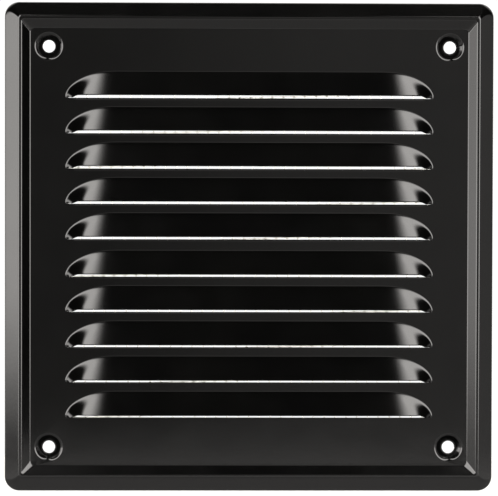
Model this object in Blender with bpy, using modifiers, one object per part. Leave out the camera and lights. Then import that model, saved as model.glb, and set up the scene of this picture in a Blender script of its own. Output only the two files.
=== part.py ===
"""Louvred air grille: one pressed sheet-metal plate with a plastic insect screen bonded to its back.

Metres, +Z up. The front faces -Y and the wall is on the +Y side. X runs along the louvres.
The origin is the centre of the bounding box. Heights are distances from the wall to the front of the sheet.
"""

import math

import bmesh
import bpy
from mathutils import Vector

# Plate
PLATE_WIDTH = 0.165
PLATE_HEIGHT = 0.165
SHEET = 0.0007
FIELD_HEIGHT = 0.0029

# Rim, from the outer edge inwards
EDGE_LIP = 0.0006  # straight lip that stands on the wall
CHAMFER_WIDTH = 0.005
RIDGE_WIDTH = 0.001
RIDGE_HEIGHT = 0.0048
INNER_SLOPE_WIDTH = 0.0028
OUTER_CORNER_RADIUS = 0.005
RIDGE_CORNER_RADIUS = 0.0009
FOOT_CORNER_RADIUS = 0.0018
CORNER_STEPS = 6

# Louvres: each is lanced along a straight cut line and pressed out into a hood that opens downwards
LOUVRE_PITCH = 0.01187
LOUVRE_MIDDLE_EXTRA = 0.00075  # more between the two groups of louvres
LOUVRE_SIDE_MARGIN = 0.0204  # plate edge to louvre tip
LOUVRE_END_MARGIN = 0.023  # least distance from plate edge to the block of louvres
LOUVRE_LIFT = 0.00095  # how far the block sits above the middle of the plate
LOUVRE_RISE = 0.0037  # field to lip
HOOD_HEIGHT = 0.0091  # cut line to hinge line
SLIT_GAP = 0.0008  # clear gap seen from straight ahead
SLIT_END = 0.0018  # length at each tip that is lanced but hardly opened
SLIT_FLARE = 0.0026  # length over which the slit then opens
LANCE_GAP = 0.00018  # gap there
SHOULDER_LENGTH = 0.018
SHOULDER_DROP = 0.00635  # how far the hinge line has sunk at the tip
SHOULDER_POWER = 2.6
SHOULDER_LIP_SHARE = 0.68  # how much of that drop the lip follows
NOSE_BLUNTNESS = 0.0088
NOSE_STEEPNESS = 1.0
NOSE_FOLD = 0.0009  # height over which the fold round the nose is rounded
NOSE_BLEND = 0.005
OUTLINE_BLEND = 0.0006
HINGE_FOLD = 0.0003  # height over which the fold along the hinge line is rounded
HOOD_COLUMNS = 12
HOOD_ROWS = 5
ROW_CROWDING = 1.5  # rows lie closer together near the hinge line

# Countersunk screw dimples
HOLE_INSET = 0.015
HOLE_RADIUS = 0.0021
SEAT_WIDTH = 0.0005  # flat ring around the hole
CONE_RUN = 0.0013  # the cone falls at 45 degrees
DIMPLE_SHOULDER = 0.001  # rounded run between the field and the cone
DIMPLE_SHOULDER_DROP = 0.0005
DIMPLE_STEPS = 24

# Insect screen
SCREEN_OVERLAP = 0.007  # beyond the block of louvres
SCREEN_THICKNESS = 0.0006
SCREEN_DIMPLE_CLEARANCE = 0.001
CONTACT_GAP = 0.0003  # between pieces that touch on the real object

# Glue pads, pressed through the screen
PAD_STEM_RADIUS = 0.0018
PAD_HEAD_RADIUS = 0.0032
PAD_WALL_CLEARANCE = 0.00025
PAD_END_INSET = 0.012  # from the end of the screen to the pad nearest to it
PAD_HOLE_MARGIN = 0.001  # least screen left between a pad's hole and a clipped corner
PAD_STEPS = 20
PAD_HOLE_STEPS = 20
PAD_DOME_STEPS = 4

SHARP_ANGLE = math.radians(25)  # edges sharper than this are shaded as edges
SOLVE_ROUNDS = 40  # steps in finding a value by trial

# Derived
DEPTH = max(RIDGE_HEIGHT, FIELD_HEIGHT + LOUVRE_RISE)
WALL_Y = DEPTH / 2
HALF_WIDTH = PLATE_WIDTH / 2
HALF_HEIGHT = PLATE_HEIGHT / 2
HOLE_X = HALF_WIDTH - HOLE_INSET
HOLE_Z = HALF_HEIGHT - HOLE_INSET
DIMPLE_RADIUS = HOLE_RADIUS + SEAT_WIDTH + CONE_RUN + DIMPLE_SHOULDER
SEAT_HEIGHT = FIELD_HEIGHT - DIMPLE_SHOULDER_DROP - CONE_RUN
LOUVRE_HALF = HALF_WIDTH - LOUVRE_SIDE_MARGIN
LOUVRE_SPACE = PLATE_HEIGHT - 2 * LOUVRE_END_MARGIN
LOUVRE_COUNT = 1 + int((LOUVRE_SPACE - HOOD_HEIGHT - LOUVRE_MIDDLE_EXTRA) / LOUVRE_PITCH)
BLOCK_HEIGHT = (LOUVRE_COUNT - 1) * LOUVRE_PITCH + LOUVRE_MIDDLE_EXTRA + HOOD_HEIGHT
BLOCK_BOTTOM = LOUVRE_LIFT - BLOCK_HEIGHT / 2
BLOCK_TOP = LOUVRE_LIFT + BLOCK_HEIGHT / 2
SCREEN_HALF_WIDTH = LOUVRE_HALF + SCREEN_OVERLAP
SCREEN_BOTTOM = BLOCK_BOTTOM - SCREEN_OVERLAP
SCREEN_TOP = BLOCK_TOP + SCREEN_OVERLAP
SCREEN_FRONT = FIELD_HEIGHT - SHEET - CONTACT_GAP
SCREEN_BACK = SCREEN_FRONT - SCREEN_THICKNESS
PAD_HOLE_RADIUS = PAD_STEM_RADIUS + CONTACT_GAP


def at(x, z, height):
    """The point at this place on the plate and this distance from the wall."""
    return Vector((x, WALL_Y - height, z))


def clear_scene():
    for thing in list(bpy.data.objects):
        bpy.data.objects.remove(thing)


def make_material(name, color, roughness, metallic=0.0):
    material = bpy.data.materials.new(name)
    material.use_nodes = True
    shader = material.node_tree.nodes["Principled BSDF"]
    shader.inputs["Base Color"].default_value = (*color, 1.0)
    shader.inputs["Roughness"].default_value = roughness
    shader.inputs["Metallic"].default_value = metallic
    return material


def add_object(name, data, collection, parent, material):
    thing = bpy.data.objects.new(name, data)
    if not data.materials:
        data.materials.append(material)
    thing.parent = parent
    collection.objects.link(thing)
    return thing


# Plate


def rounded_rectangle(bm, inset, height, radius):
    """A ring of vertices, CORNER_STEPS arcs at each corner, this far inside the plate's outline."""
    ring = []
    for quarter in range(4):
        start = quarter * math.pi / 2
        sign_x = 1 if quarter in (0, 3) else -1
        sign_z = 1 if quarter in (0, 1) else -1
        centre_x = sign_x * (HALF_WIDTH - inset - radius)
        centre_z = sign_z * (HALF_HEIGHT - inset - radius)
        for step in range(CORNER_STEPS + 1):
            turn = start + step / CORNER_STEPS * math.pi / 2
            point = at(centre_x + radius * math.cos(turn), centre_z + radius * math.sin(turn), height)
            ring.append(bm.verts.new(point))
    return ring


def circle(bm, x, z, radius, height):
    ring = []
    for step in range(DIMPLE_STEPS):
        turn = step / DIMPLE_STEPS * 2 * math.pi
        ring.append(bm.verts.new(at(x + radius * math.cos(turn), z + radius * math.sin(turn), height)))
    return ring


def loft(bm, rings):
    """Quads between each closed ring and the next. Rings have the same number of vertices."""
    for outer, inner in zip(rings, rings[1:]):
        for index in range(len(outer)):
            after = (index + 1) % len(outer)
            bm.faces.new((outer[index], outer[after], inner[after], inner[index]))


def ring_edges(bm, ring):
    return [bm.edges.get((ring[index - 1], ring[index])) for index in range(len(ring))]


def add_rim(bm):
    """Lip, chamfer, ridge and inner slope. Returns the edges at the foot, where the field begins."""
    ridge_outer = CHAMFER_WIDTH
    ridge_inner = ridge_outer + RIDGE_WIDTH
    foot = ridge_inner + INNER_SLOPE_WIDTH
    rings = [
        rounded_rectangle(bm, 0, 0, OUTER_CORNER_RADIUS),
        rounded_rectangle(bm, 0, EDGE_LIP, OUTER_CORNER_RADIUS),
        rounded_rectangle(bm, ridge_outer, RIDGE_HEIGHT, RIDGE_CORNER_RADIUS),
        rounded_rectangle(bm, ridge_inner, RIDGE_HEIGHT, RIDGE_CORNER_RADIUS),
        rounded_rectangle(bm, foot, FIELD_HEIGHT, FOOT_CORNER_RADIUS),
    ]
    loft(bm, rings)
    return ring_edges(bm, rings[-1])


def add_dimple(bm, x, z):
    """Rounded shoulder, cone and flat seat around an open hole. Returns the edges where it leaves the field."""
    cone_top = DIMPLE_RADIUS - DIMPLE_SHOULDER
    seat = HOLE_RADIUS + SEAT_WIDTH
    halfway_drop = DIMPLE_SHOULDER_DROP / 4  # the shoulder is a parabola
    rings = [
        circle(bm, x, z, DIMPLE_RADIUS, FIELD_HEIGHT),
        circle(bm, x, z, DIMPLE_RADIUS - DIMPLE_SHOULDER / 2, FIELD_HEIGHT - halfway_drop),
        circle(bm, x, z, cone_top, FIELD_HEIGHT - DIMPLE_SHOULDER_DROP),
        circle(bm, x, z, seat, SEAT_HEIGHT),
        circle(bm, x, z, HOLE_RADIUS, SEAT_HEIGHT),
    ]
    loft(bm, rings)
    return ring_edges(bm, rings[0])


def smooth_least(a, b, blend):
    """The lesser of a and b, rounded off where they are closer than blend."""
    share = min(max(0.5 + 0.5 * (b - a) / blend, 0.0), 1.0)
    return b + (a - b) * share - blend * share * (1 - share)


def ease(share):
    share = min(max(share, 0.0), 1.0)
    return share * share * (3 - 2 * share)


def hood_slope():
    """Fall of the hood's front face, so that its lip stands LOUVRE_RISE off the field."""
    cosine = 1.0
    for _ in range(SOLVE_ROUNDS):  # the lip's height depends a little on the slope itself
        lip = SLIT_GAP + SHEET * math.sqrt(1 - cosine * cosine)
        slope = (LOUVRE_RISE + HINGE_FOLD / 2) / (HOOD_HEIGHT - lip)
        cosine = 1 / math.hypot(1, slope)
    return slope


HOOD_SLOPE = hood_slope()
LIP_DIP = SHEET * HOOD_SLOPE / math.hypot(1, HOOD_SLOPE)  # the lip's back corner hangs this far below its front one


def fold(height, bend):
    """The height after the fold at its foot is rounded, over this much height."""
    if height < bend:
        return max(height, 0.0) ** 2 / (2 * bend)
    return height - bend / 2


def shoulder_drop(run):
    """How far the hinge line has sunk at this distance from the tip."""
    return SHOULDER_DROP * (1 - min(run / SHOULDER_LENGTH, 1.0)) ** SHOULDER_POWER


def hinge_rise(run):
    """Height of the hood's outline above the cut line, at this distance from the tip."""
    return smooth_least(math.sqrt(run * NOSE_BLUNTNESS), HOOD_HEIGHT - shoulder_drop(run), OUTLINE_BLEND)


def hood_height(run, rise):
    """How far the hood stands off the field, at this distance from the tip and above the cut line."""
    drop = shoulder_drop(run)
    share = SHOULDER_LIP_SHARE + (1 - SHOULDER_LIP_SHARE) * rise / (HOOD_HEIGHT - drop)
    shoulder = fold(HOOD_SLOPE * (HOOD_HEIGHT - drop * share - rise), HINGE_FOLD)
    inside = (run - rise * rise / NOSE_BLUNTNESS) / math.hypot(1, 2 * rise / NOSE_BLUNTNESS)
    nose = fold(NOSE_STEEPNESS * inside, NOSE_FOLD)
    if min(nose, shoulder) <= 0:
        return 0.0
    blend = NOSE_BLEND * (nose + shoulder) / (nose + shoulder + NOSE_BLEND)
    return smooth_least(nose, shoulder, blend)


def lip_rise(run):
    """Height of the lip's front corner above the cut line."""
    lanced = LANCE_GAP * math.sqrt(min(run / SLIT_END, 1.0))
    return lanced + (SLIT_GAP + LIP_DIP - LANCE_GAP) * ease((run - SLIT_END) / SLIT_FLARE)


def add_louvre(bm, cut_z):
    """A hood over its slit. Returns the edges that the field meets: along the hinge and along the cut."""
    runs = [SHOULDER_LENGTH * (step / HOOD_COLUMNS) ** 2 for step in range(1, HOOD_COLUMNS + 1)]
    places = [(-LOUVRE_HALF + run, run) for run in runs]
    places += [(LOUVRE_HALF - run, run) for run in reversed(runs)]
    left_tip = bm.verts.new(at(-LOUVRE_HALF, cut_z, FIELD_HEIGHT))
    right_tip = bm.verts.new(at(LOUVRE_HALF, cut_z, FIELD_HEIGHT))
    columns = []
    for x, run in places:
        hinge = hinge_rise(run)
        lip = lip_rise(run)
        column = []
        for row in range(HOOD_ROWS + 1):
            share = (row / HOOD_ROWS) ** ROW_CROWDING
            rise = hinge + (lip - hinge) * share
            height = hood_height(run, rise) if row else 0.0
            column.append(bm.verts.new(at(x, cut_z + rise, FIELD_HEIGHT + height)))
        columns.append(column)
    for before, after in zip(columns, columns[1:]):
        for row in range(HOOD_ROWS):
            bm.faces.new((before[row], before[row + 1], after[row + 1], after[row]))
    for tip, column in ((left_tip, columns[0]), (right_tip, columns[-1])):
        for row in range(HOOD_ROWS):
            bm.faces.new((tip, column[row], column[row + 1]))
    hinge_line = [left_tip] + [column[0] for column in columns] + [right_tip]
    ends = [-LOUVRE_HALF + SLIT_END, LOUVRE_HALF - SLIT_END]
    cut_line = [left_tip] + [bm.verts.new(at(x, cut_z, FIELD_HEIGHT)) for x in ends] + [right_tip]
    edges = [bm.edges.get(pair) for pair in zip(hinge_line, hinge_line[1:])]
    edges += [bm.edges.new(pair) for pair in zip(cut_line, cut_line[1:])]
    return edges


def build_plate(collection, parent, material):
    """Rim, dimples and louvres as open surfaces, the field filled between them, and the sheet made solid."""
    bm = bmesh.new()
    field_edges = add_rim(bm)
    for sign_x in (-1, 1):
        for sign_z in (-1, 1):
            field_edges += add_dimple(bm, sign_x * HOLE_X, sign_z * HOLE_Z)
    for louvre in range(LOUVRE_COUNT):
        extra = LOUVRE_MIDDLE_EXTRA if louvre >= LOUVRE_COUNT // 2 else 0
        field_edges += add_louvre(bm, BLOCK_BOTTOM + louvre * LOUVRE_PITCH + extra)
    bmesh.ops.triangle_fill(bm, edges=field_edges, use_beauty=True, normal=(0, -1, 0))
    bmesh.ops.recalc_face_normals(bm, faces=bm.faces)
    if sum(face.normal.y * face.calc_area() for face in bm.faces) > 0:
        bmesh.ops.reverse_faces(bm, faces=bm.faces)
    mesh = bpy.data.meshes.new("grille_plate")
    bm.to_mesh(mesh)
    bm.free()
    plate = add_object("grille_plate", mesh, collection, parent, material)
    solidify = plate.modifiers.new("sheet", "SOLIDIFY")
    solidify.thickness = SHEET
    solidify.offset = -1
    solidify.use_even_offset = True
    solidify.use_quality_normals = True
    mesh.shade_smooth()
    mesh.set_sharp_from_angle(angle=SHARP_ANGLE)


# Insect screen and its glue pads


def corner_clip(end_z):
    """How much is cut off both sides of a screen corner at this end, to pass a dimple at a clear distance."""
    reach = (DIMPLE_RADIUS + SCREEN_DIMPLE_CLEARANCE) * math.sqrt(2)
    return max(SCREEN_HALF_WIDTH + abs(end_z) - (HOLE_X + HOLE_Z - reach), SCREEN_THICKNESS)


def end_pad_inset(end_z):
    """From this end of the screen to the side pads nearest to it, which keep clear of the clipped corners."""
    return max(PAD_END_INSET, corner_clip(end_z) + PAD_HOLE_MARGIN + PAD_HOLE_RADIUS)


def pad_places():
    """Name and place of each pad, in the middle of the screen's overlap on the plate."""
    side = SCREEN_HALF_WIDTH - SCREEN_OVERLAP / 2
    upper = SCREEN_TOP - SCREEN_OVERLAP / 2
    lower = SCREEN_BOTTOM + SCREEN_OVERLAP / 2
    middle = (SCREEN_TOP + SCREEN_BOTTOM) / 2
    end_upper = SCREEN_TOP - end_pad_inset(SCREEN_TOP)
    end_lower = SCREEN_BOTTOM + end_pad_inset(SCREEN_BOTTOM)
    return {
        "glue_pad_top": (0, upper),
        "glue_pad_bottom": (0, lower),
        "glue_pad_left_upper": (-side, end_upper),
        "glue_pad_left_middle": (-side, middle),
        "glue_pad_left_lower": (-side, end_lower),
        "glue_pad_right_upper": (side, end_upper),
        "glue_pad_right_middle": (side, middle),
        "glue_pad_right_lower": (side, end_lower),
    }


def screen_outline():
    """A rectangle with its corners clipped clear of the screw dimples."""
    points = []
    for sign_x, z, sign_z in ((1, SCREEN_TOP, 1), (-1, SCREEN_TOP, 1), (-1, SCREEN_BOTTOM, -1), (1, SCREEN_BOTTOM, -1)):
        clip = corner_clip(z)
        corner = [(sign_x * SCREEN_HALF_WIDTH, z - sign_z * clip), (sign_x * (SCREEN_HALF_WIDTH - clip), z)]
        points += corner if sign_x == sign_z else reversed(corner)
    return points


def add_closed_spline(curve, points):
    spline = curve.splines.new("POLY")
    spline.points.add(len(points) - 1)
    for point, (x, y) in zip(spline.points, points):
        point.co = (x, y, 0, 1)
    spline.use_cyclic_u = True


def build_screen(collection, parent, material):
    """A flat closed sheet of the net's outline, with a clear hole around each pad's stem."""
    curve = bpy.data.curves.new("insect_screen", "CURVE")
    curve.dimensions = "2D"
    curve.fill_mode = "BOTH"
    curve.extrude = SCREEN_THICKNESS / 2
    add_closed_spline(curve, screen_outline())
    turns = [step / PAD_HOLE_STEPS * 2 * math.pi for step in range(PAD_HOLE_STEPS)]
    hole = [(PAD_HOLE_RADIUS * math.cos(turn), PAD_HOLE_RADIUS * math.sin(turn)) for turn in turns]
    for x, z in pad_places().values():
        add_closed_spline(curve, [(x + hole_x, z + hole_z) for hole_x, hole_z in hole])
    screen = add_object("insect_screen", curve, collection, parent, material)
    screen.rotation_euler.x = math.pi / 2
    screen.location = at(0, 0, (SCREEN_FRONT + SCREEN_BACK) / 2)


def pad_profile():
    """Half section of a pad, from its axis at the plate down to its axis at the wall. Y is not used."""
    stem_top = SCREEN_FRONT
    head_top = SCREEN_BACK - CONTACT_GAP
    head_bottom = PAD_WALL_CLEARANCE
    thickness = head_top - head_bottom
    points = [(0, stem_top), (PAD_STEM_RADIUS, stem_top), (PAD_STEM_RADIUS, head_top), (PAD_HEAD_RADIUS, head_top)]
    for step in range(1, PAD_DOME_STEPS):
        turn = step / PAD_DOME_STEPS * math.pi / 2
        points.append((PAD_HEAD_RADIUS * math.cos(turn), head_top - thickness * math.sin(turn)))
    return points + [(0, head_bottom)]


def build_pads(collection, parent, material):
    """Turned pads: a stem through the screen and a domed head behind it."""
    points = pad_profile()
    mesh = bpy.data.meshes.new("glue_pad")
    edges = [(index, index + 1) for index in range(len(points) - 1)]
    mesh.from_pydata([(x, 0, z) for x, z in points], edges, [])
    for name, (x, z) in pad_places().items():
        pad = add_object(name, mesh, collection, parent, material)
        pad.rotation_euler.x = math.pi / 2
        pad.location = at(x, z, 0)
        screw = pad.modifiers.new("turn", "SCREW")
        screw.steps = PAD_STEPS
        screw.render_steps = PAD_STEPS
        screw.use_merge_vertices = True
        screw.merge_threshold = 0.00001


def main():
    clear_scene()
    collection = bpy.data.collections.new("louvred_air_grille")
    bpy.context.scene.collection.children.link(collection)
    frame = bpy.data.objects.new("grille_frame", None)
    collection.objects.link(frame)
    black_paint = make_material("black_powder_coat", (0.012, 0.012, 0.012), 0.32)
    white_plastic = make_material("pale_plastic_net", (0.78, 0.78, 0.74), 0.5)
    hot_melt = make_material("hot_melt_adhesive", (0.72, 0.66, 0.5), 0.35)
    build_plate(collection, frame, black_paint)
    build_screen(collection, frame, white_plastic)
    build_pads(collection, frame, hot_melt)


main()
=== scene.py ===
"""Looks of the louvred air grille: pressed plate with rounded bends, net and blobs of glue."""

import math
import random

import bmesh
import bpy
from mathutils import Matrix, Vector, noise


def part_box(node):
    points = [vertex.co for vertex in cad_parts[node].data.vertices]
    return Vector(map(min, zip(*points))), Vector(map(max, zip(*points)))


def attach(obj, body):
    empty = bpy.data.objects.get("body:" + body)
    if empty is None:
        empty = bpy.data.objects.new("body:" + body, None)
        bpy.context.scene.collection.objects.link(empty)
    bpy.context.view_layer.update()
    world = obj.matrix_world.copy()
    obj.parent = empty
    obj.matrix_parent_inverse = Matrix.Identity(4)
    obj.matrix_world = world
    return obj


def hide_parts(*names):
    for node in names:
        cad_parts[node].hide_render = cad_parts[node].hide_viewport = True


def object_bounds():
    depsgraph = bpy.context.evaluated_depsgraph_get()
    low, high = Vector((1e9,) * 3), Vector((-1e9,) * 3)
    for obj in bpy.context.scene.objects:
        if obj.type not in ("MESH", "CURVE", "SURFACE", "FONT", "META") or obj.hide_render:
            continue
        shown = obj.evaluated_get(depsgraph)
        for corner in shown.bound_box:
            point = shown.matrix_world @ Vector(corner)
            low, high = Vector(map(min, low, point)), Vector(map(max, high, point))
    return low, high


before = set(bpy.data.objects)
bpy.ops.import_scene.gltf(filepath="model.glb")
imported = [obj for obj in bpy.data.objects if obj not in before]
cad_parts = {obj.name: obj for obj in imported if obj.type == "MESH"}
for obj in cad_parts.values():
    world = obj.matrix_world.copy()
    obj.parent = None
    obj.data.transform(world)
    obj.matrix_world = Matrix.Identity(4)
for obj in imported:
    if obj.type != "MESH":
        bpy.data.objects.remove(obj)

CAD_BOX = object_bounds()
LOW, HIGH = CAD_BOX

# Plate: heights are distances from the wall to the front of the sheet, as in the CAD part
WALL_Y = HIGH[1]
HALF_WIDTH = HIGH[0]
HALF_HEIGHT = HIGH[2]
SHEET = 0.0007
FIELD_HEIGHT = 0.0029

# Rim, from the outer edge inwards
EDGE_LIP = 0.0006
CHAMFER_WIDTH = 0.005
RIDGE_WIDTH = 0.001
RIDGE_HEIGHT = 0.0048
INNER_SLOPE_WIDTH = 0.0028
OUTER_CORNER_RADIUS = 0.005
RIDGE_CORNER_RADIUS = 0.0009
FOOT_CORNER_RADIUS = 0.0018
OUTER_BEND_RADIUS = 0.0009
FOOT_BEND_RADIUS = 0.0008
CORNER_STEPS = 14
CHAMFER_STEPS = 8
BEND_STEPS = 6

# Louvres: their places, and the slit under each
LOUVRE_COUNT = 10
LOUVRE_PITCH = 0.01187
LOUVRE_MIDDLE_EXTRA = 0.00075
LOUVRE_SIDE_MARGIN = 0.0204
LOUVRE_LIFT = 0.00095
SLIT_GAP = 0.0008
SLIT_END = 0.0018
SLIT_FLARE = 0.0026
LANCE_GAP = 0.00005

# Hoods: the straight middle, the sinking shoulders, and the nose and the curl at each tip
LOUVRE_RISE = 0.0037
HOOD_HEIGHT = 0.0091
HINGE_FOLD = 0.0003
OUTLINE_BLEND = 0.0006
SHOULDER_LENGTH = 0.018
SHOULDER_DROP = 0.00635
SHOULDER_POWER = 2.6
SHOULDER_LIP_SHARE = 0.68
NOSE_BLUNTNESS = 0.0088
NOSE_STEEPNESS = 1.0
NOSE_FOLD = 0.0009
NOSE_BLEND = 0.005
NOSE_CURL = 0.0004
NOSE_CURL_RISE = 0.0014
NOSE_CURL_RUN = 0.004

# The field's edge under each slit
EDGE_ROLL_WIDTH = 0.0009
EDGE_ROLL_DEPTH = 0.00014
EDGE_ROLL_START = 0.0015
EDGE_ROLL_LEAST = 0.08

# How finely the louvres are made
END_COLUMNS = 34
COLUMN_CROWDING = 1.8
MIDDLE_COLUMNS = 6
HOOD_ROWS = 18
ROW_CROWDING = 1.6
EDGE_ROLL_STEPS = 5
SLOPE_STEP = 0.00002
SLOPE_ROUNDS = 40
SHARP_ANGLE = math.radians(40)

# Countersunk dimples
HOLE_INSET = 0.015
HOLE_RADIUS = 0.0021
SEAT_WIDTH = 0.0005
CONE_RUN = 0.0013
DIMPLE_SHOULDER = 0.001
DIMPLE_SHOULDER_DROP = 0.0005
DIMPLE_STEPS = 64
DIMPLE_RINGS = 6

# Net
NET_PITCH = 0.00366
NET_SKEW = math.radians(1.7)
NET_REACH = 1.3
NET_CLEARANCE = 0.001
NET_SEED = 7
STRAND_RADIUS = 0.00028
STRAND_SIDES = 8
STRAND_SWAY = 0.00005
SWAY_LENGTH = 0.021
KNOT_SWELL = 0.14
STRAND_THINNING = 0.06
STATIONS_PER_CELL = 4
LEAST_STATION_GAP = 0.0001
PARALLEL = 1e-12

# Glue: shares of a blob's reach and depth
GLUE_RINGS = 14
GLUE_SIDES = 36
GLUE_SEED = 40
BLOB_REACH = 0.92
BLOB_WOBBLE = 0.14
WOBBLE_SCALE = 0.9
NIB_LENGTH = 0.06
NIB_SHARPNESS = 6
DOME_DEPTH = 0.9
DOME_POWER = 0.8
DOME_LUMPS = 0.08
LUMP_SCALE = 1.7
CROWN_DEPTH = 0.94
NOISE_SPREAD = 50

# Camera
CAMERA_DISTANCE = 0.75
CAMERA_LIFT = math.radians(1.3)
CAMERA_TURN = math.radians(-1.0)
CAMERA_ROLL = math.radians(0.15)
CAMERA_SHIFT = (-0.0006, -0.001)
CLIP_START = 0.01
VIEW_WIDTH = 0.1684

# Studio: radiance of each part
BANK = 8.5
SIDE_REFLECTOR = 6.0
SIDE_STRIP = 0.6
ROOM = 0.17
ROOM_RIGHT = 0.22
ROOM_HIGH = 0.5
ROOM_LOW = 0.3
GROUND = 0.2
BACK = 3.2
SEEN_WHITE = 1.05
LIGHT_COLOR = (1.0, 0.97, 0.94, 1)

# Degrees up between which the lower half of a bank gives way to the upper
BANK_SPLIT = (14, 30)

# Floor: painted shade, darker near the middle and paler outward, goes from the near to the far value
# between these distances from the middle
FLOOR_DROP = 0.12
FLOOR_RADIUS = 1.15
FLOOR_SEGMENTS = 128
NEAR = 0.3
FAR = 1.0
NEAR_PAINTED_SHADE = 0.2
FAR_PAINTED_SHADE = 0.4

# Most of a noise texture's values lie between these
NOISE_LOW = 0.3
NOISE_HIGH = 0.7

HALF_LOUVRE = HALF_WIDTH - LOUVRE_SIDE_MARGIN
BLOCK_HEIGHT = (LOUVRE_COUNT - 1) * LOUVRE_PITCH + LOUVRE_MIDDLE_EXTRA + HOOD_HEIGHT
BLOCK_BOTTOM = LOUVRE_LIFT - BLOCK_HEIGHT / 2


def at(x, z, height):
    """The point at this place on the plate and this distance from the wall."""
    return Vector((x, WALL_Y - height, z))


def mesh_from(bm, name):
    """A mesh made from bm, which is freed."""
    mesh = bpy.data.meshes.new(name)
    bm.to_mesh(mesh)
    bm.free()
    return mesh


def add_object(name, data):
    """A new object in the scene."""
    added = bpy.data.objects.new(name, data)
    bpy.context.scene.collection.objects.link(added)
    return added


def add_piece(name, mesh, material, slot, *replaced):
    """A finished piece: it rides on the one body and stands for the CAD nodes named."""
    piece = add_object(name, mesh)
    mesh.materials.append(material)
    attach(piece, "root")
    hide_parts(*replaced)
    return piece


# Materials


def set_range(node, from_min, from_max, to_min, to_max):
    """Sets a Map Range node's numbers and returns its result."""
    node.inputs["From Min"].default_value = from_min
    node.inputs["From Max"].default_value = from_max
    node.inputs["To Min"].default_value = to_min
    node.inputs["To Max"].default_value = to_max
    return node.outputs["Result"]


def new_material(name, color, roughness):
    """A Principled material. This colour and roughness hold where no texture drives them."""
    material = bpy.data.materials.new(name)
    material.use_nodes = True
    nodes, links = material.node_tree.nodes, material.node_tree.links
    shader = nodes["Principled BSDF"]
    shader.inputs["Base Color"].default_value = (*color, 1.0)
    shader.inputs["Roughness"].default_value = roughness
    return material, nodes, links, shader


def add_noise(nodes, links, grain, detail=2.0):
    """Noise whose blotches are about this many metres across, fixed to the object."""
    place = nodes.new("ShaderNodeTexCoord")
    texture = nodes.new("ShaderNodeTexNoise")
    texture.inputs["Scale"].default_value = 1 / grain
    texture.inputs["Detail"].default_value = detail
    links.new(place.outputs["Object"], texture.inputs["Vector"])
    return texture


def vary(nodes, links, texture, low, high, socket):
    """Drives a number socket from a noise texture, from low to high."""
    spread = nodes.new("ShaderNodeMapRange")
    links.new(texture.outputs["Fac"], spread.inputs["Value"])
    links.new(set_range(spread, NOISE_LOW, NOISE_HIGH, low, high), socket)


def vary_color(nodes, links, texture, low, high, socket):
    """Drives a colour socket from a noise texture, from low to high."""
    ramp = nodes.new("ShaderNodeValToRGB")
    stops = ((NOISE_LOW, low), (NOISE_HIGH, high))
    for element, (position, color) in zip(ramp.color_ramp.elements, stops):
        element.position = position
        element.color = (*color, 1.0)
    links.new(texture.outputs["Fac"], ramp.inputs["Fac"])
    links.new(ramp.outputs["Color"], socket)


def add_bump(nodes, links, texture, depth, shader, below=None):
    """A bump of this depth in metres. below is a bump it lies on."""
    bump = nodes.new("ShaderNodeBump")
    bump.inputs["Distance"].default_value = depth
    links.new(texture.outputs["Fac"], bump.inputs["Height"])
    if below:
        links.new(below.outputs["Normal"], bump.inputs["Normal"])
    links.new(bump.outputs["Normal"], shader.inputs["Normal"])
    return bump


def black_powder_coat():
    """Semi-gloss black powder coat: fine orange peel over the slight waviness of pressed sheet."""
    plain = (0.0009, 0.0009, 0.0009)
    material, nodes, links, shader = new_material("black_powder_coat", plain, 0.11)
    shader.inputs["IOR"].default_value = 1.5
    blotch = add_noise(nodes, links, 0.03)
    dark, light = (0.0007, 0.0007, 0.0007), (0.0011, 0.0011, 0.001)
    vary_color(nodes, links, blotch, dark, light, shader.inputs["Base Color"])
    vary(nodes, links, add_noise(nodes, links, 0.012, 4.0), 0.09, 0.115, shader.inputs["Roughness"])
    waves = add_bump(nodes, links, add_noise(nodes, links, 0.045), 0.00006, shader)
    add_bump(nodes, links, add_noise(nodes, links, 0.0011), 0.0000022, shader, waves)
    return material


def pale_net_plastic():
    """Off-white extruded polypropylene, which lets light through."""
    material, nodes, links, shader = new_material("pale_net_plastic", (0.8, 0.8, 0.77), 0.42)
    shader.inputs["IOR"].default_value = 1.49
    shader.inputs["Transmission Weight"].default_value = 0.7
    blotch = add_noise(nodes, links, 0.008)
    dark, light = (0.74, 0.74, 0.7), (0.84, 0.84, 0.81)
    vary_color(nodes, links, blotch, dark, light, shader.inputs["Base Color"])
    vary(nodes, links, blotch, 0.36, 0.5, shader.inputs["Roughness"])
    add_bump(nodes, links, add_noise(nodes, links, 0.0004), 0.000006, shader)
    return material


def hot_melt_adhesive():
    """Milky, slightly yellow hot-melt adhesive, glossy where it set against the air."""
    material, nodes, links, shader = new_material("hot_melt_adhesive", (0.78, 0.7, 0.5), 0.22)
    shader.inputs["Subsurface Weight"].default_value = 0.9
    shader.inputs["Subsurface Radius"].default_value = (1.0, 0.8, 0.5)
    shader.inputs["Subsurface Scale"].default_value = 0.0015
    shader.inputs["Transmission Weight"].default_value = 0.25
    blotch = add_noise(nodes, links, 0.0025)
    dark, light = (0.72, 0.63, 0.42), (0.84, 0.77, 0.58)
    vary_color(nodes, links, blotch, dark, light, shader.inputs["Base Color"])
    vary(nodes, links, add_noise(nodes, links, 0.0012), 0.16, 0.34, shader.inputs["Roughness"])
    add_bump(nodes, links, blotch, 0.00004, shader)
    return material


# Plate


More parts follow.
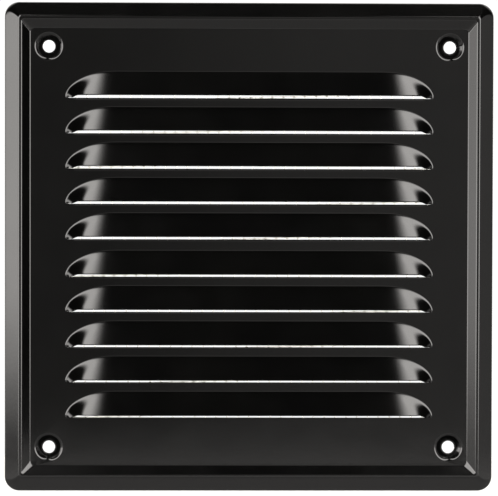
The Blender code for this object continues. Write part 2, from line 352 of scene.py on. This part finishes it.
def rounded_rectangle(bm, inset, height, radius):
    """A ring of vertices, an arc at each corner, this far inside the plate's outline."""
    ring = []
    for quarter in range(4):
        sign_x = 1 if quarter in (0, 3) else -1
        sign_z = 1 if quarter in (0, 1) else -1
        centre_x = sign_x * (HALF_WIDTH - inset - radius)
        centre_z = sign_z * (HALF_HEIGHT - inset - radius)
        for step in range(CORNER_STEPS + 1):
            turn = (quarter + step / CORNER_STEPS) * math.pi / 2
            x = centre_x + radius * math.cos(turn)
            z = centre_z + radius * math.sin(turn)
            ring.append(bm.verts.new(at(x, z, height)))
    return ring


def circle(bm, x, z, radius, height):
    """A ring of vertices around a screw hole's centre."""
    ring = []
    for step in range(DIMPLE_STEPS):
        turn = step / DIMPLE_STEPS * 2 * math.pi
        place = at(x + radius * math.cos(turn), z + radius * math.sin(turn), height)
        ring.append(bm.verts.new(place))
    return ring


def loft(bm, rings):
    """Smooth quads between each closed ring and the next."""
    for outer, inner in zip(rings, rings[1:]):
        for index in range(len(outer)):
            after = (index + 1) % len(outer)
            face = bm.faces.new((outer[index], outer[after], inner[after], inner[index]))
            face.smooth = True


def ring_edges(bm, ring):
    return [bm.edges.get((ring[index - 1], ring[index])) for index in range(len(ring))]


def rounded_corner(before, corner, after, radius):
    """Points on an arc of this radius that rounds off the corner of a polyline."""
    back = (before - corner).normalized()
    forth = (after - corner).normalized()
    half = back.angle(forth) / 2
    centre = corner + (back + forth).normalized() * (radius / math.sin(half))
    start = corner + back * (radius / math.tan(half)) - centre
    end = corner + forth * (radius / math.tan(half)) - centre
    turn = start.angle(end)
    points = []
    for step in range(BEND_STEPS + 1):
        share = step / BEND_STEPS
        start_weight = math.sin((1 - share) * turn) / math.sin(turn)
        end_weight = math.sin(share * turn) / math.sin(turn)
        points.append(centre + start * start_weight + end * end_weight)
    return points


def add_rim(bm):
    """Lip, chamfer, ridge and inner slope with rounded bends. Returns the field's outer edges."""
    ridge_outer = CHAMFER_WIDTH
    ridge_inner = ridge_outer + RIDGE_WIDTH
    foot = ridge_inner + INNER_SLOPE_WIDTH
    # The last point only says which way the field runs from the foot
    section = [
        Vector((0, 0)), Vector((0, EDGE_LIP)), Vector((ridge_outer, RIDGE_HEIGHT)),
        Vector((ridge_inner, RIDGE_HEIGHT)), Vector((foot, FIELD_HEIGHT)),
        Vector((foot + CHAMFER_WIDTH, FIELD_HEIGHT)),
    ]
    bends = [OUTER_BEND_RADIUS, OUTER_BEND_RADIUS, OUTER_BEND_RADIUS, FOOT_BEND_RADIUS]
    points = [section[0]]
    for index, radius in enumerate(bends, 1):
        bend = rounded_corner(section[index - 1], section[index], section[index + 1], radius)
        if index == 2:
            # The chamfer goes in steps, because its corners tighten along a curve
            shares = [step / CHAMFER_STEPS for step in range(1, CHAMFER_STEPS)]
            points += [points[-1].lerp(bend[0], share) for share in shares]
        points += bend
    rings = []
    for point in points:
        if point.x < ridge_outer:
            share = (1 - point.x / ridge_outer) ** 2
            radius = RIDGE_CORNER_RADIUS + (OUTER_CORNER_RADIUS - RIDGE_CORNER_RADIUS) * share
        elif point.x < ridge_inner:
            radius = RIDGE_CORNER_RADIUS
        else:
            share = (point.x - ridge_inner) / (points[-1].x - ridge_inner)
            radius = RIDGE_CORNER_RADIUS + (FOOT_CORNER_RADIUS - RIDGE_CORNER_RADIUS) * share
        rings.append(rounded_rectangle(bm, point.x, point.y, radius))
    loft(bm, rings)
    return ring_edges(bm, rings[-1])


def add_dimple(bm, x, z):
    """Rounded shoulder, cone and flat seat round an open hole. Returns its edges with the field."""
    cone_top = HOLE_RADIUS + SEAT_WIDTH + CONE_RUN
    seat_height = FIELD_HEIGHT - DIMPLE_SHOULDER_DROP - CONE_RUN
    rings = []
    for step in range(DIMPLE_RINGS + 1):
        share = step / DIMPLE_RINGS
        drop = DIMPLE_SHOULDER_DROP * share * share
        radius = cone_top + DIMPLE_SHOULDER * (1 - share)
        rings.append(circle(bm, x, z, radius, FIELD_HEIGHT - drop))
    seat = HOLE_RADIUS + SEAT_WIDTH
    rings.append(circle(bm, x, z, seat, seat_height))
    rings.append(circle(bm, x, z, HOLE_RADIUS, seat_height))
    loft(bm, rings)
    return ring_edges(bm, rings[0])


def smooth_least(a, b, blend):
    """The lesser of a and b, rounded off where they are closer than blend."""
    share = min(max(0.5 + 0.5 * (b - a) / blend, 0.0), 1.0)
    return b + (a - b) * share - blend * share * (1 - share)


def ease(share):
    """Goes smoothly from 0 to 1 as share does."""
    share = min(max(share, 0.0), 1.0)
    return share * share * (3 - 2 * share)


def fold(height, bend):
    """The height after the fold at its foot is rounded, over this much height."""
    if height < bend:
        return max(height, 0.0) ** 2 / (2 * bend)
    return height - bend / 2


def hood_slope():
    """Fall of the hood's front face, so that its lip stands LOUVRE_RISE off the field."""
    cosine = 1.0
    for _ in range(SLOPE_ROUNDS):
        lip = SLIT_GAP + SHEET * math.sqrt(1 - cosine * cosine)
        slope = (LOUVRE_RISE + HINGE_FOLD / 2) / (HOOD_HEIGHT - lip)
        cosine = 1 / math.hypot(1, slope)
    return slope


HOOD_SLOPE = hood_slope()


def shoulder_drop(run):
    """How far the hinge line has sunk at this distance from the tip."""
    return SHOULDER_DROP * (1 - min(run / SHOULDER_LENGTH, 1.0)) ** SHOULDER_POWER


def hinge_rise(run):
    """Height of the hood's outline above the cut line, at this distance from the tip."""
    nose = math.sqrt(run * NOSE_BLUNTNESS)
    return smooth_least(nose, HOOD_HEIGHT - shoulder_drop(run), OUTLINE_BLEND)


def hood_height(run, rise):
    """How far the hood stands off the field, this far from the tip and above the cut line."""
    drop = shoulder_drop(run)
    share = SHOULDER_LIP_SHARE + (1 - SHOULDER_LIP_SHARE) * rise / (HOOD_HEIGHT - drop)
    shoulder = fold(HOOD_SLOPE * (HOOD_HEIGHT - drop * share - rise), HINGE_FOLD)
    inside = (run - rise * rise / NOSE_BLUNTNESS) / math.hypot(1, 2 * rise / NOSE_BLUNTNESS)
    nose = fold(NOSE_STEEPNESS * inside, NOSE_FOLD)
    if min(nose, shoulder) <= 0:
        return 0.0
    blend = NOSE_BLEND * (nose + shoulder) / (nose + shoulder + NOSE_BLEND)
    return smooth_least(nose, shoulder, blend)


def lip_rise(run):
    """Height of the lip's front corner above the cut line.

    The lip's back corner hangs lower, and sets the gap.
    """
    gap = LANCE_GAP * math.sqrt(min(run / SLIT_END, 1.0))
    gap += (SLIT_GAP - LANCE_GAP) * ease((run - SLIT_END) / SLIT_FLARE)
    here = hood_height(run, gap)
    fall = (here - hood_height(run, gap + SLOPE_STEP)) / SLOPE_STEP
    climb = (hood_height(run + SLOPE_STEP, gap) - here) / SLOPE_STEP
    return gap + SHEET * max(fall, 0.0) / math.hypot(1, fall, climb)


def louvre_point(x, run, cut_z, rise, height):
    """A point of a louvre. The outline curls back in under the nose at each tip."""
    low = max(1 - max(rise, 0.0) / NOSE_CURL_RISE, 0.0) ** 2
    near = max(1 - run / NOSE_CURL_RUN, 0.0) ** 2
    curl = math.copysign(NOSE_CURL * low * near, -x)
    return at(x + curl, cut_z + rise, FIELD_HEIGHT + height)


def louvre_places():
    """Where each column of a hood stands, with its distance from the nearer tip."""
    shares = [step / END_COLUMNS for step in range(1, END_COLUMNS + 1)]
    runs = [SHOULDER_LENGTH * share ** COLUMN_CROWDING for share in shares]
    left = [(-HALF_LOUVRE + run, run) for run in runs]
    middle_half = HALF_LOUVRE - SHOULDER_LENGTH
    middle_steps = range(1, MIDDLE_COLUMNS)
    middle = [middle_half * (2 * step / MIDDLE_COLUMNS - 1) for step in middle_steps]
    right = [(HALF_LOUVRE - run, run) for run in reversed(runs)]
    return left + [(x, HALF_LOUVRE - abs(x)) for x in middle] + right


def add_louvre(bm, cut_z):
    """A hood over its slit. Returns its edges with the field, along the hinge and the cut."""
    left_tip = bm.verts.new(louvre_point(-HALF_LOUVRE, 0, cut_z, 0, 0))
    right_tip = bm.verts.new(louvre_point(HALF_LOUVRE, 0, cut_z, 0, 0))
    columns = []
    for x, run in louvre_places():
        hinge = hinge_rise(run)
        lip = lip_rise(run)
        column = []
        for row in range(HOOD_ROWS + 1):
            rise = hinge + (lip - hinge) * (row / HOOD_ROWS) ** ROW_CROWDING
            height = hood_height(run, rise) if row else 0.0
            column.append(bm.verts.new(louvre_point(x, run, cut_z, rise, height)))
        columns.append(column)
    faces = []
    for before, after in zip(columns, columns[1:]):
        for row in range(HOOD_ROWS):
            corners = (before[row], before[row + 1], after[row + 1], after[row])
            faces.append(bm.faces.new(corners))
    for tip, column in ((left_tip, columns[0]), (right_tip, columns[-1])):
        for row in range(HOOD_ROWS):
            faces.append(bm.faces.new((tip, column[row], column[row + 1])))
    for face in faces:
        face.smooth = True
    hinge_line = [left_tip] + [column[0] for column in columns] + [right_tip]
    hinge_edges = [bm.edges.get(pair) for pair in zip(hinge_line, hinge_line[1:])]
    return hinge_edges + add_edge_roll(bm, cut_z, left_tip, right_tip)


def add_edge_roll(bm, cut_z, left_tip, right_tip):
    """The lower side of the cut, rolled in by the lancing. Returns its edges with the field."""
    columns = []
    for x, run in louvre_places():
        column = [bm.verts.new(louvre_point(x, run, cut_z, 0, 0))]
        if run > EDGE_ROLL_START:
            grown = max(ease((run - EDGE_ROLL_START) / SLIT_FLARE), EDGE_ROLL_LEAST)
            column[0].co = louvre_point(x, run, cut_z, 0, -EDGE_ROLL_DEPTH * grown)
            for step in range(1, EDGE_ROLL_STEPS + 1):
                share = step / EDGE_ROLL_STEPS
                out = EDGE_ROLL_WIDTH * share * grown
                sink = EDGE_ROLL_DEPTH * (1 - share) ** 2 * grown
                column.append(bm.verts.new(louvre_point(x, run, cut_z, -out, -sink)))
        columns.append(column)
    for before, after in zip(columns, columns[1:]):
        last_before, last_after = len(before) - 1, len(after) - 1
        for step in range(max(last_before, last_after)):
            corners = [before[min(step, last_before)], after[min(step, last_after)]]
            corners += [after[min(step + 1, last_after)], before[min(step + 1, last_before)]]
            bm.faces.new(list(dict.fromkeys(corners))).smooth = True
    boundary = [left_tip] + [column[-1] for column in columns] + [right_tip]
    return [bm.edges.get(pair) or bm.edges.new(pair) for pair in zip(boundary, boundary[1:])]


def build_plate(material):
    """Rim, dimples, louvres and the field filled in between, thickened to a sheet."""
    bm = bmesh.new()
    field_edges = add_rim(bm)
    for sign_x in (-1, 1):
        for sign_z in (-1, 1):
            hole_x = sign_x * (HALF_WIDTH - HOLE_INSET)
            hole_z = sign_z * (HALF_HEIGHT - HOLE_INSET)
            field_edges += add_dimple(bm, hole_x, hole_z)
    for louvre in range(LOUVRE_COUNT):
        extra = LOUVRE_MIDDLE_EXTRA if louvre >= LOUVRE_COUNT // 2 else 0
        field_edges += add_louvre(bm, BLOCK_BOTTOM + louvre * LOUVRE_PITCH + extra)
    bmesh.ops.triangle_fill(bm, edges=field_edges, use_beauty=True, normal=(0, -1, 0))
    bmesh.ops.recalc_face_normals(bm, faces=bm.faces)
    if sum(face.normal.y * face.calc_area() for face in bm.faces) > 0:
        bmesh.ops.reverse_faces(bm, faces=bm.faces)
    blank = add_object("blank", mesh_from(bm, "pressed_plate"))
    solidify = blank.modifiers.new("sheet", "SOLIDIFY")
    solidify.thickness = SHEET
    solidify.offset = -1
    solidify.use_quality_normals = True
    bpy.context.view_layer.update()
    solid = blank.evaluated_get(bpy.context.evaluated_depsgraph_get())
    sheet = bpy.data.meshes.new_from_object(solid)
    bpy.data.objects.remove(blank)
    sheet.name = "pressed_plate"
    sheet.set_sharp_from_angle(angle=SHARP_ANGLE)
    plate = add_piece("pressed_plate", sheet, material, "plate_paint", "grille_plate")
    weighted = plate.modifiers.new("flat_field", "WEIGHTED_NORMAL")
    weighted.keep_sharp = True


# Net


def strand_span(outline, origin, along):
    """Where a line through origin enters and leaves the net's convex outline, or None."""
    first, last = -math.inf, math.inf
    for index, corner in enumerate(outline):
        side = outline[(index + 1) % len(outline)] - corner
        inward = Vector((-side.y, side.x))
        depth = (origin - corner).dot(inward)
        speed = along.dot(inward)
        if abs(speed) < PARALLEL:
            if depth < 0:
                return None
            continue
        cross = -depth / speed
        if speed > 0:
            first = max(first, cross)
        else:
            last = min(last, cross)
    return (first, last) if last - first > NET_PITCH else None


def add_strand(bm, points, radii):
    """A tube through the points, closed at both ends."""
    rings = []
    for index, point in enumerate(points):
        along = (points[min(index + 1, len(points) - 1)] - points[max(index - 1, 0)]).normalized()
        depth = Vector((0, 1, 0))
        across = along.cross(depth).normalized()
        ring = []
        for side in range(STRAND_SIDES):
            turn = side / STRAND_SIDES * 2 * math.pi
            offset = across * math.cos(turn) + depth * math.sin(turn)
            ring.append(bm.verts.new(point + offset * radii[index]))
        rings.append(ring)
    loft(bm, rings)
    bm.faces.new(rings[0])
    bm.faces.new(reversed(rings[-1]))


def net_outline():
    """The CAD screen's outline: a rectangle with its corners clipped clear of the dimples."""
    low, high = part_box("insect_screen")
    half = high.x
    dimple = HOLE_RADIUS + SEAT_WIDTH + CONE_RUN + DIMPLE_SHOULDER
    line = HALF_WIDTH + HALF_HEIGHT - 2 * HOLE_INSET - (dimple + NET_CLEARANCE) * math.sqrt(2)
    top_clip = half + high.z - line
    bottom_clip = half - low.z - line
    return [
        Vector((half, low.z + bottom_clip)), Vector((half, high.z - top_clip)),
        Vector((half - top_clip, high.z)), Vector((-half + top_clip, high.z)),
        Vector((-half, high.z - top_clip)), Vector((-half, low.z + bottom_clip)),
        Vector((-half + bottom_clip, low.z)), Vector((half - bottom_clip, low.z)),
    ]


def build_net(material):
    """Square net of two layers of strands, fused where they cross, cut a little off the square."""
    low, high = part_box("insect_screen")
    outline = net_outline()
    rng = random.Random(NET_SEED)
    bm = bmesh.new()
    middle = Vector(((low.x + high.x) / 2, (low.z + high.z) / 2))
    middle_y = (low.y + high.y) / 2
    for layer, heading in ((-1, NET_SKEW + math.pi / 2), (1, NET_SKEW)):
        along = Vector((math.cos(heading), math.sin(heading)))
        across = Vector((-along.y, along.x))
        count = int(high.x * NET_REACH / NET_PITCH)
        layer_y = middle_y + layer * (high.y - low.y) / 2 - layer * STRAND_RADIUS * (1 + KNOT_SWELL)
        for number in range(-count, count + 1):
            origin = middle + across * (number + 0.5) * NET_PITCH
            span = strand_span(outline, origin, along)
            if not span:
                continue
            phase = rng.uniform(0, 2 * math.pi)
            first = math.ceil(span[0] / NET_PITCH * STATIONS_PER_CELL)
            last = math.floor(span[1] / NET_PITCH * STATIONS_PER_CELL)
            between = [step * NET_PITCH / STATIONS_PER_CELL for step in range(first, last + 1)]
            stations = [span[0]] + between + [span[1]]
            pairs = zip(stations, stations[1:] + [math.inf])
            stations = [here for here, after in pairs if after - here > LEAST_STATION_GAP]
            points, radii = [], []
            for station in stations:
                sway = STRAND_SWAY * math.sin(station / SWAY_LENGTH + phase)
                place = origin + along * station + across * sway
                crossing = math.cos(2 * math.pi * (station / NET_PITCH - 0.5))
                points.append(Vector((place.x, layer_y, place.y)))
                swell = KNOT_SWELL * max(crossing, 0) ** 2
                radii.append(STRAND_RADIUS * (1 + swell - STRAND_THINNING * (1 - crossing)))
            add_strand(bm, points, radii)
    bmesh.ops.recalc_face_normals(bm, faces=bm.faces)
    add_piece("plastic_net", mesh_from(bm, "plastic_net"), material, "net_plastic", "insect_screen")


# Glue


def build_glue(node, seed, material):
    """A blob of hot melt on the back of the sheet: a lumpy dome with a nib where the gun left it."""
    low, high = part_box(node)
    centre = (low + high) / 2
    reach = (high.x - low.x) / 2
    base_y = WALL_Y - (FIELD_HEIGHT - SHEET)
    depth = high.y - base_y
    rng = random.Random(seed)
    nib = rng.uniform(0, 2 * math.pi)
    offset = Vector([rng.uniform(-NOISE_SPREAD, NOISE_SPREAD) for _ in range(3)])
    bm = bmesh.new()
    grid = []
    for ring in range(GLUE_RINGS):
        slope = ring / GLUE_RINGS * math.pi / 2
        row = []
        for side in range(GLUE_SIDES):
            turn = side / GLUE_SIDES * 2 * math.pi
            around = Vector((math.cos(turn), math.sin(turn), 0))
            wobble = noise.noise(offset + around * WOBBLE_SCALE)
            radius = reach * math.cos(slope) * (BLOB_REACH + BLOB_WOBBLE * wobble)
            toward_nib = max(math.cos(turn - nib), 0.0) ** NIB_SHARPNESS
            drawn = toward_nib * NIB_LENGTH * reach * math.cos(slope)
            outward = Vector((around.x, around.y, slope))
            lump = noise.noise(offset + outward * LUMP_SCALE)
            dome = math.sin(slope) ** DOME_POWER * (DOME_DEPTH + DOME_LUMPS * lump)
            x = centre.x + (radius + drawn) * math.cos(turn)
            z = centre.z + (radius + drawn) * math.sin(turn)
            inside_x = min(max(x, low.x), high.x)
            inside_z = min(max(z, low.z), high.z)
            row.append(bm.verts.new((inside_x, base_y + depth * min(dome, 1.0), inside_z)))
        grid.append(row)
    loft(bm, grid)
    top = bm.verts.new((centre.x, base_y + depth * CROWN_DEPTH, centre.z))
    for side in range(GLUE_SIDES):
        face = bm.faces.new((grid[-1][side], grid[-1][(side + 1) % GLUE_SIDES], top))
        face.smooth = True
    bm.faces.new(reversed(grid[0]))
    bmesh.ops.recalc_face_normals(bm, faces=bm.faces)
    mesh = mesh_from(bm, "hot_melt_" + node)
    add_piece(node.replace("glue_pad", "hot_melt"), mesh, material, "hot_melt", node)


# Camera, light and stage


def add_camera():
    """The photograph's view: nearly straight on, from far enough that the plate hardly narrows."""
    camera = add_object("camera", bpy.data.cameras.new("camera"))
    level = CAMERA_DISTANCE * math.cos(CAMERA_LIFT)
    height = CAMERA_DISTANCE * math.sin(CAMERA_LIFT)
    camera.location = (level * math.sin(CAMERA_TURN), -level * math.cos(CAMERA_TURN), height)
    heading = Matrix.Rotation(CAMERA_TURN, 3, "Z")
    tilt = Matrix.Rotation(math.pi / 2 - CAMERA_LIFT, 3, "X")
    roll = Matrix.Rotation(CAMERA_ROLL, 3, "Z")
    camera.rotation_euler = (heading @ tilt @ roll).to_euler()
    camera.data.lens = camera.data.sensor_width * (CAMERA_DISTANCE + WALL_Y) / VIEW_WIDTH
    camera.data.shift_x, camera.data.shift_y = CAMERA_SHIFT
    camera.data.clip_start = CLIP_START
    bpy.context.scene.camera = camera


class Sky:
    """Radiance by direction, as degrees from the camera to the picture's left and degrees up."""

    def __init__(self):
        world = bpy.data.worlds.new("studio")
        bpy.context.scene.world = world
        world.use_nodes = True
        self.nodes, self.links = world.node_tree.nodes, world.node_tree.links
        self.nodes.clear()
        direction = self.nodes.new("ShaderNodeTexCoord")
        parts = self.nodes.new("ShaderNodeSeparateXYZ")
        self.links.new(direction.outputs["Generated"], parts.inputs["Vector"])
        back = self.math("MULTIPLY", parts.outputs["Y"], -1)
        left = self.math("MULTIPLY", parts.outputs["X"], -1)
        self.turn = self.math("DEGREES", self.math("ARCTAN2", left, back))
        self.lift = self.math("DEGREES", self.math("ARCSINE", parts.outputs["Z"]))
        self.total = None

    def math(self, operation, *values):
        """The result of a Math node, from numbers or sockets."""
        node = self.nodes.new("ShaderNodeMath")
        node.operation = operation
        for socket, value in zip(node.inputs, values):
            if isinstance(value, (int, float)):
                socket.default_value = value
            else:
                self.links.new(value, socket)
        return node.outputs[0]

    def step(self, value, low, high, start=0.0, end=1.0):
        """Goes smoothly from start to end as value passes from low to high."""
        node = self.nodes.new("ShaderNodeMapRange")
        node.interpolation_type = "SMOOTHSTEP"
        self.links.new(value, node.inputs["Value"])
        return set_range(node, low, high, start, end)

    def band(self, value, rise_from, rise_to, fall_from, fall_to):
        """Goes smoothly from 0 to 1, stays, and goes back to 0."""
        rising = self.step(value, rise_from, rise_to)
        return self.math("MULTIPLY", rising, self.step(value, fall_from, fall_to, 1.0, 0.0))

    def add(self, radiance, *shares):
        """Adds this radiance, times each share."""
        term = self.math("MULTIPLY", shares[0], radiance)
        for share in shares[1:]:
            term = self.math("MULTIPLY", term, share)
        self.total = term if self.total is None else self.math("ADD", self.total, term)

    def finish(self):
        """Light and reflections come from what was added. The camera sees plain white."""
        lit = self.nodes.new("ShaderNodeBackground")
        self.links.new(self.total, lit.inputs["Strength"])
        lit.inputs["Color"].default_value = LIGHT_COLOR
        white = self.nodes.new("ShaderNodeBackground")
        white.inputs["Color"].default_value = (1, 1, 1, 1)
        white.inputs["Strength"].default_value = SEEN_WHITE
        path = self.nodes.new("ShaderNodeLightPath")
        either = self.nodes.new("ShaderNodeMixShader")
        self.links.new(path.outputs["Is Camera Ray"], either.inputs["Fac"])
        self.links.new(lit.outputs["Background"], either.inputs[1])
        self.links.new(white.outputs["Background"], either.inputs[2])
        output = self.nodes.new("ShaderNodeOutputWorld")
        self.links.new(either.outputs["Shader"], output.inputs["Surface"])


def add_studio():
    """Soft banks left and right of the camera, wider below, with a dim front and a bright back."""
    sky = Sky()
    bank_top = sky.step(sky.lift, 72, 80, 1.0, 0.0)
    bank_foot = sky.step(sky.lift, -9, -3)
    high = sky.math("MULTIPLY", sky.step(sky.lift, *BANK_SPLIT), bank_top)
    low = sky.math("MULTIPLY", sky.step(sky.lift, *BANK_SPLIT, 1.0, 0.0), bank_foot)
    # Left bank, and a reflector at its side
    sky.add(BANK, sky.band(sky.turn, 10, 22, 30, 42), high)
    sky.add(BANK, sky.band(sky.turn, 11, 24, 50, 67), low)
    sky.add(SIDE_REFLECTOR, sky.band(sky.turn, 52, 80, 84, 94), sky.band(sky.lift, -7, -2, 14, 26))
    # Right bank, and a weak strip at its side
    sky.add(BANK, sky.band(sky.turn, -54, -41, -27, -14), high)
    sky.add(BANK, sky.band(sky.turn, -58, -48, -24, -10), low)
    beside = sky.band(sky.turn, -94, -86, -78, -72)
    sky.add(SIDE_STRIP, beside, sky.band(sky.lift, -20, -10, 10, 20))
    # The room ahead of the plate, lighter to the right, above and below
    ahead = sky.band(sky.turn, -30, -20, 20, 30)
    level = sky.band(sky.lift, -60, -45, 20, 32)
    sky.add(ROOM, ahead, level)
    sky.add(ROOM_RIGHT, sky.band(sky.turn, -30, -12, -4, 4), level)
    sky.add(ROOM_HIGH, ahead, sky.band(sky.lift, 8, 14, 20, 30))
    sky.add(ROOM_LOW, ahead, sky.band(sky.lift, -55, -40, -22, -12))
    # The ground, and everything behind the plate
    sky.add(GROUND, sky.step(sky.lift, -10, -16))
    sky.add(BACK, sky.step(sky.math("ABSOLUTE", sky.turn), 96, 115))
    sky.finish()


def add_floor():
    """A round floor with painted shade: darker near the middle and paler towards its rim, so that it
    runs into the white behind.
    """
    material, nodes, links, shader = new_material("floor_painted_shade", (0.25, 0.25, 0.25), 0.6)
    place = nodes.new("ShaderNodeTexCoord")
    length = nodes.new("ShaderNodeVectorMath")
    length.operation = "LENGTH"
    links.new(place.outputs["Object"], length.inputs[0])
    ramp = nodes.new("ShaderNodeMapRange")
    ramp.interpolation_type = "SMOOTHSTEP"
    links.new(length.outputs["Value"], ramp.inputs["Value"])
    # Painted shade: the floor's colour is darker near the middle and paler towards the rim
    links.new(set_range(ramp, NEAR, FAR, NEAR_PAINTED_SHADE, FAR_PAINTED_SHADE), shader.inputs["Base Color"])
    bm = bmesh.new()
    bmesh.ops.create_circle(bm, cap_ends=True, radius=FLOOR_RADIUS, segments=FLOOR_SEGMENTS)
    floor = add_object("studio_floor", mesh_from(bm, "studio_floor"))
    floor.data.materials.append(material)
    floor.location.z = LOW[2] - FLOOR_DROP


add_camera()
add_studio()
add_floor()
bpy.context.scene.view_settings.view_transform = "Standard"

build_plate(black_powder_coat())
build_net(pale_net_plastic())
glue = hot_melt_adhesive()
pads = sorted(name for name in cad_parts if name.startswith("glue_pad"))
for number, node in enumerate(pads):
    build_glue(node, GLUE_SEED + number, glue)
